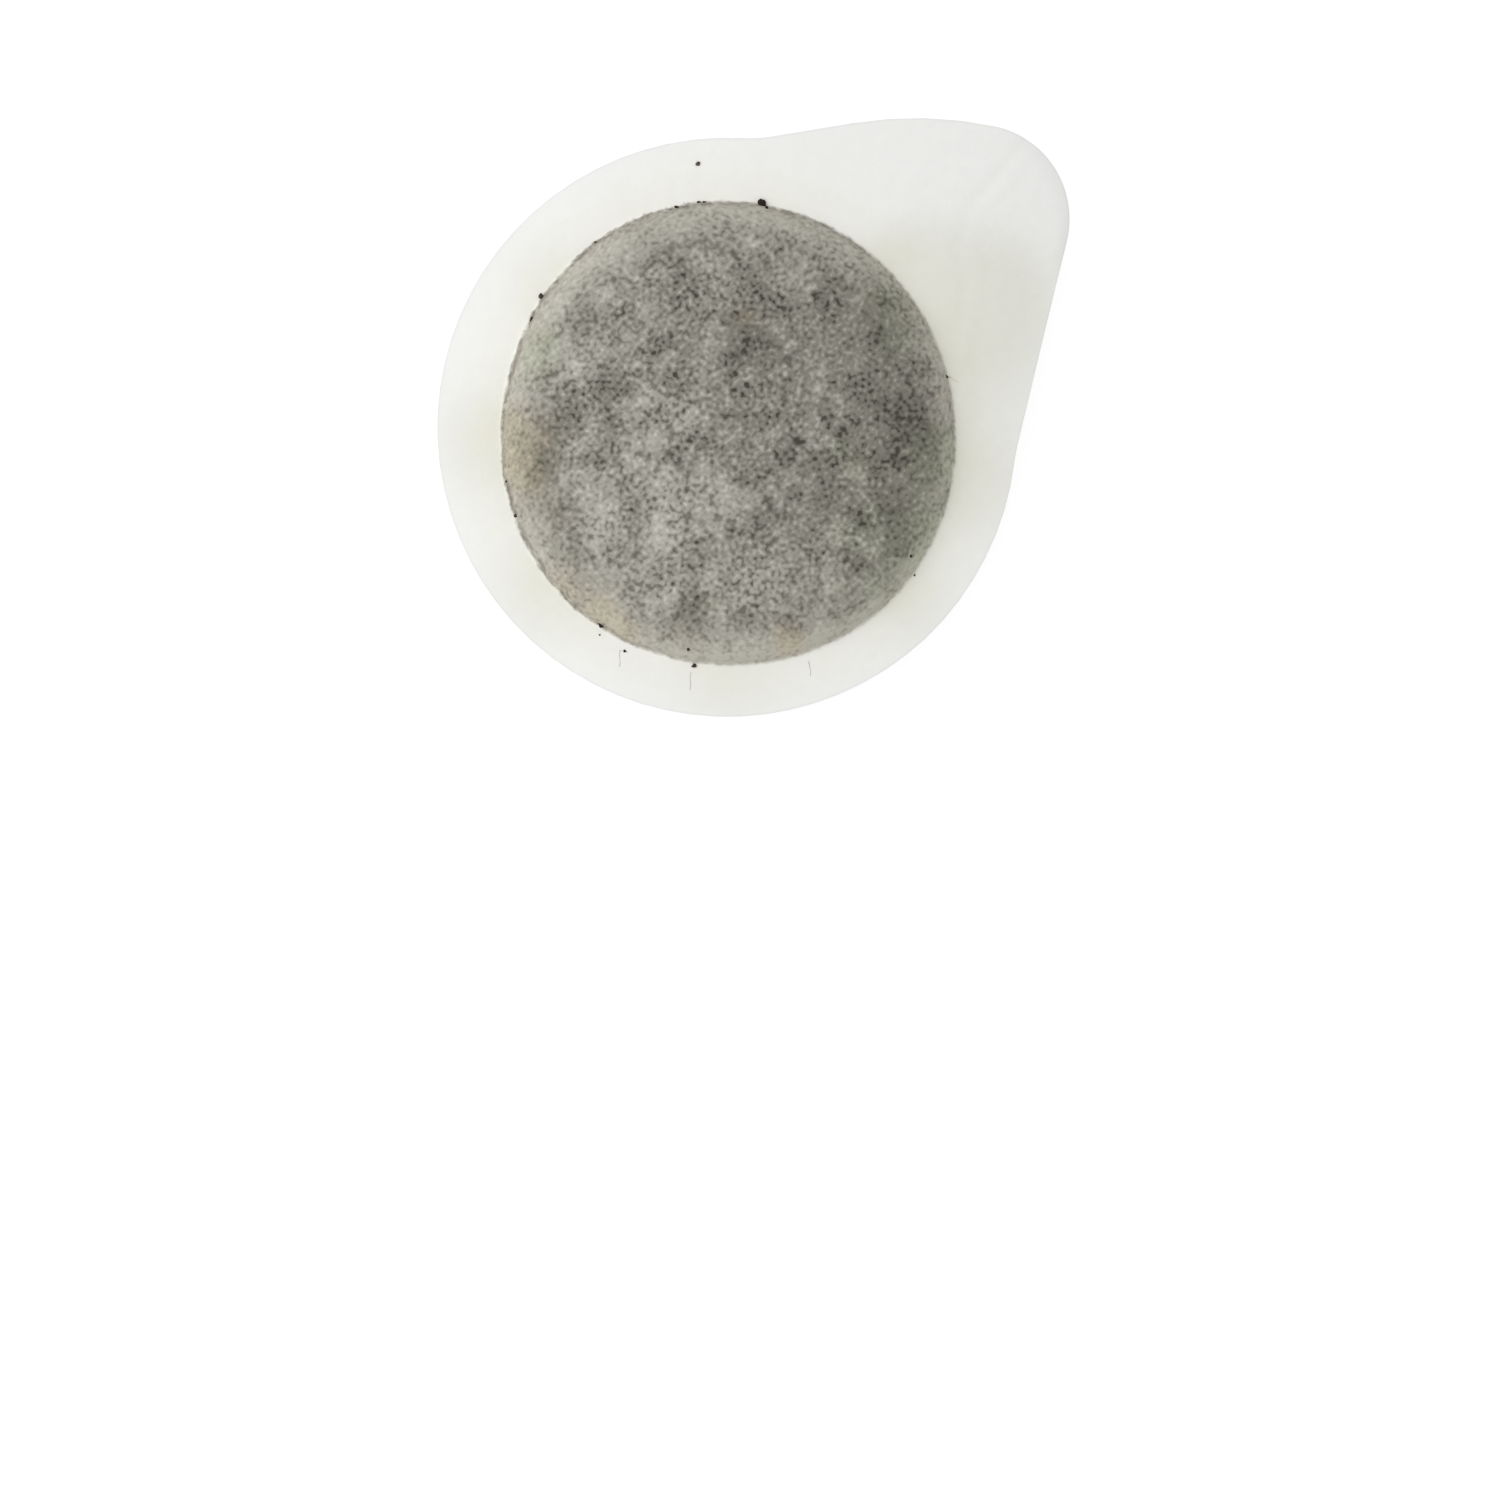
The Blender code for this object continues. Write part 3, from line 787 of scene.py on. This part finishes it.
fibre_material, fibre_tree, fibre_shader = new_material("stained fibre")
fibre_place = add(fibre_tree, "ShaderNodeTexCoord", {}).outputs["Object"]
fibre_stain = noise_at(fibre_tree, fibre_place, 0.0006, detail=2.0).outputs["Fac"]
fibre_colour = colour_ramp(fibre_tree, fibre_stain, [
    (0.35, (0.430, 0.390, 0.310)),
    (0.65, (0.640, 0.610, 0.530)),
])
fibre_tree.links.new(fibre_colour, fibre_shader["Base Color"])
fibre_tree.links.new(fade(fibre_tree, fibre_stain, 0.3, 0.7, 0.7, 0.95), fibre_shader["Roughness"])
for number, route in enumerate(STRAY_FIBRES, 1):
    deselect_all()
    line = bpy.data.curves.new(f"stray_fibre_{number}", "CURVE")
    line.dimensions = "3D"
    line.bevel_depth = FIBRE_RADIUS
    line.bevel_resolution = 2
    line.resolution_u = 8
    line.use_fill_caps = True
    spline = line.splines.new("BEZIER")
    spline.bezier_points.add(len(route) - 1)
    for point, (x, y) in zip(spline.bezier_points, route):
        point.co = (x, y, surface_height(x, y) + FIBRE_RADIUS)
        point.handle_left_type = "AUTO"
        point.handle_right_type = "AUTO"
    strand = bpy.data.objects.new(line.name, line)
    bpy.context.scene.collection.objects.link(strand)
    bpy.context.view_layer.objects.active = strand
    strand.select_set(True)
    bpy.ops.object.convert(target="MESH")
    strand = bpy.context.object
    strand.data.materials.append(fibre_material)
    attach(strand, "root")


# Table
# The plain white sheet that the pod lies on. It glows for the camera, so that it stays white, and still
# takes the pod's shadow.
TABLE_SIZE = 3.0
TABLE_GREY = (0.24, 0.24, 0.24, 1.0)
TABLE_GLOW = 0.88


def looked_at(tree):
    """1 for a ray from the camera, a reflection or glass, and 0 for a ray that only gathers light."""
    path = add(tree, "ShaderNodeLightPath", {}).outputs
    seen = reckon(tree, "MAXIMUM", path["Is Camera Ray"], path["Is Glossy Ray"])
    return reckon(tree, "MAXIMUM", seen, path["Is Transmission Ray"])


deselect_all()
bpy.ops.mesh.primitive_plane_add(size=TABLE_SIZE)
table = bpy.context.object
table.name = "table"
table_material, table_tree, table_shader = new_material("white table")
table_shader["Base Color"].default_value = TABLE_GREY
table_shader["Roughness"].default_value = 0.9
table_shader["Emission Color"].default_value = (1.0, 1.0, 1.0, 1.0)
table_glow = reckon(table_tree, "MULTIPLY", looked_at(table_tree), TABLE_GLOW)
table_tree.links.new(table_glow, table_shader["Emission Strength"])
table.data.materials.append(table_material)


# Studio light
# A white surround that lights the pod evenly from all sides, and one wide soft lamp that stands to the left
# of the photograph.
TAB_TURN = math.radians(43.2)     # the tab's direction in the photograph, anticlockwise from its right
FILL = 0.66                       # light from the surround
KEY_SHARE = 0.39                  # light from the lamp
KEY_DISTANCE = 0.24
KEY_SIZE = 0.20
KEY_DIRECTION = math.radians(175) - TAB_TURN
KEY_HEIGHT = math.radians(50)

world = bpy.data.worlds.new("studio")
world.use_nodes = True
bpy.context.scene.world = world
sky = world.node_tree
surround = sky.nodes["Background"].inputs
surround["Color"].default_value = (1.0, 1.0, 1.0, 1.0)
sky.links.new(reckon(sky, "MULTIPLY_ADD", looked_at(sky), 1 - FILL, FILL), surround["Strength"])

key = bpy.data.objects.new("key light", bpy.data.lights.new("key light", "AREA"))
bpy.context.scene.collection.objects.link(key)
towards_key = Vector((math.cos(KEY_DIRECTION) * math.cos(KEY_HEIGHT),
                      math.sin(KEY_DIRECTION) * math.cos(KEY_HEIGHT), math.sin(KEY_HEIGHT)))
key.location = towards_key * KEY_DISTANCE
key.rotation_euler = towards_key.to_track_quat("Z", "Y").to_euler()
key.data.size = KEY_SIZE
key.data.energy = KEY_SHARE * (math.pi * KEY_DISTANCE) ** 2 / math.sin(KEY_HEIGHT)


# Camera
# Straight above the pod, turned so that the tab points to the upper right. The pod lies in the picture's
# upper left, as large as in the photograph.
LENS = 0.100
SENSOR = 0.036
PIXEL = 0.044 / 460               # one pixel of the photograph: the 44 mm coffee disc is 460 px across
PICTURE = 1500
CUP_AXIS = (728.6, 433.7)         # where the cup's axis is in the photograph, in pixels from its upper left

camera = bpy.data.objects.new("camera", bpy.data.cameras.new("camera"))
bpy.context.scene.collection.objects.link(camera)
camera.data.lens = LENS * 1000
camera.data.sensor_width = SENSOR * 1000
image_right = Vector((math.cos(TAB_TURN), -math.sin(TAB_TURN)))
image_up = Vector((math.sin(TAB_TURN), math.cos(TAB_TURN)))
middle = image_right * (PICTURE / 2 - CUP_AXIS[0]) * PIXEL + image_up * (CUP_AXIS[1] - PICTURE / 2) * PIXEL
camera.location = (middle.x, middle.y, SEAM_HEIGHT + PICTURE * PIXEL * LENS / SENSOR)
camera.rotation_euler = (0.0, 0.0, -TAB_TURN)
bpy.context.scene.camera = camera
bpy.context.scene.view_settings.view_transform = "Standard"
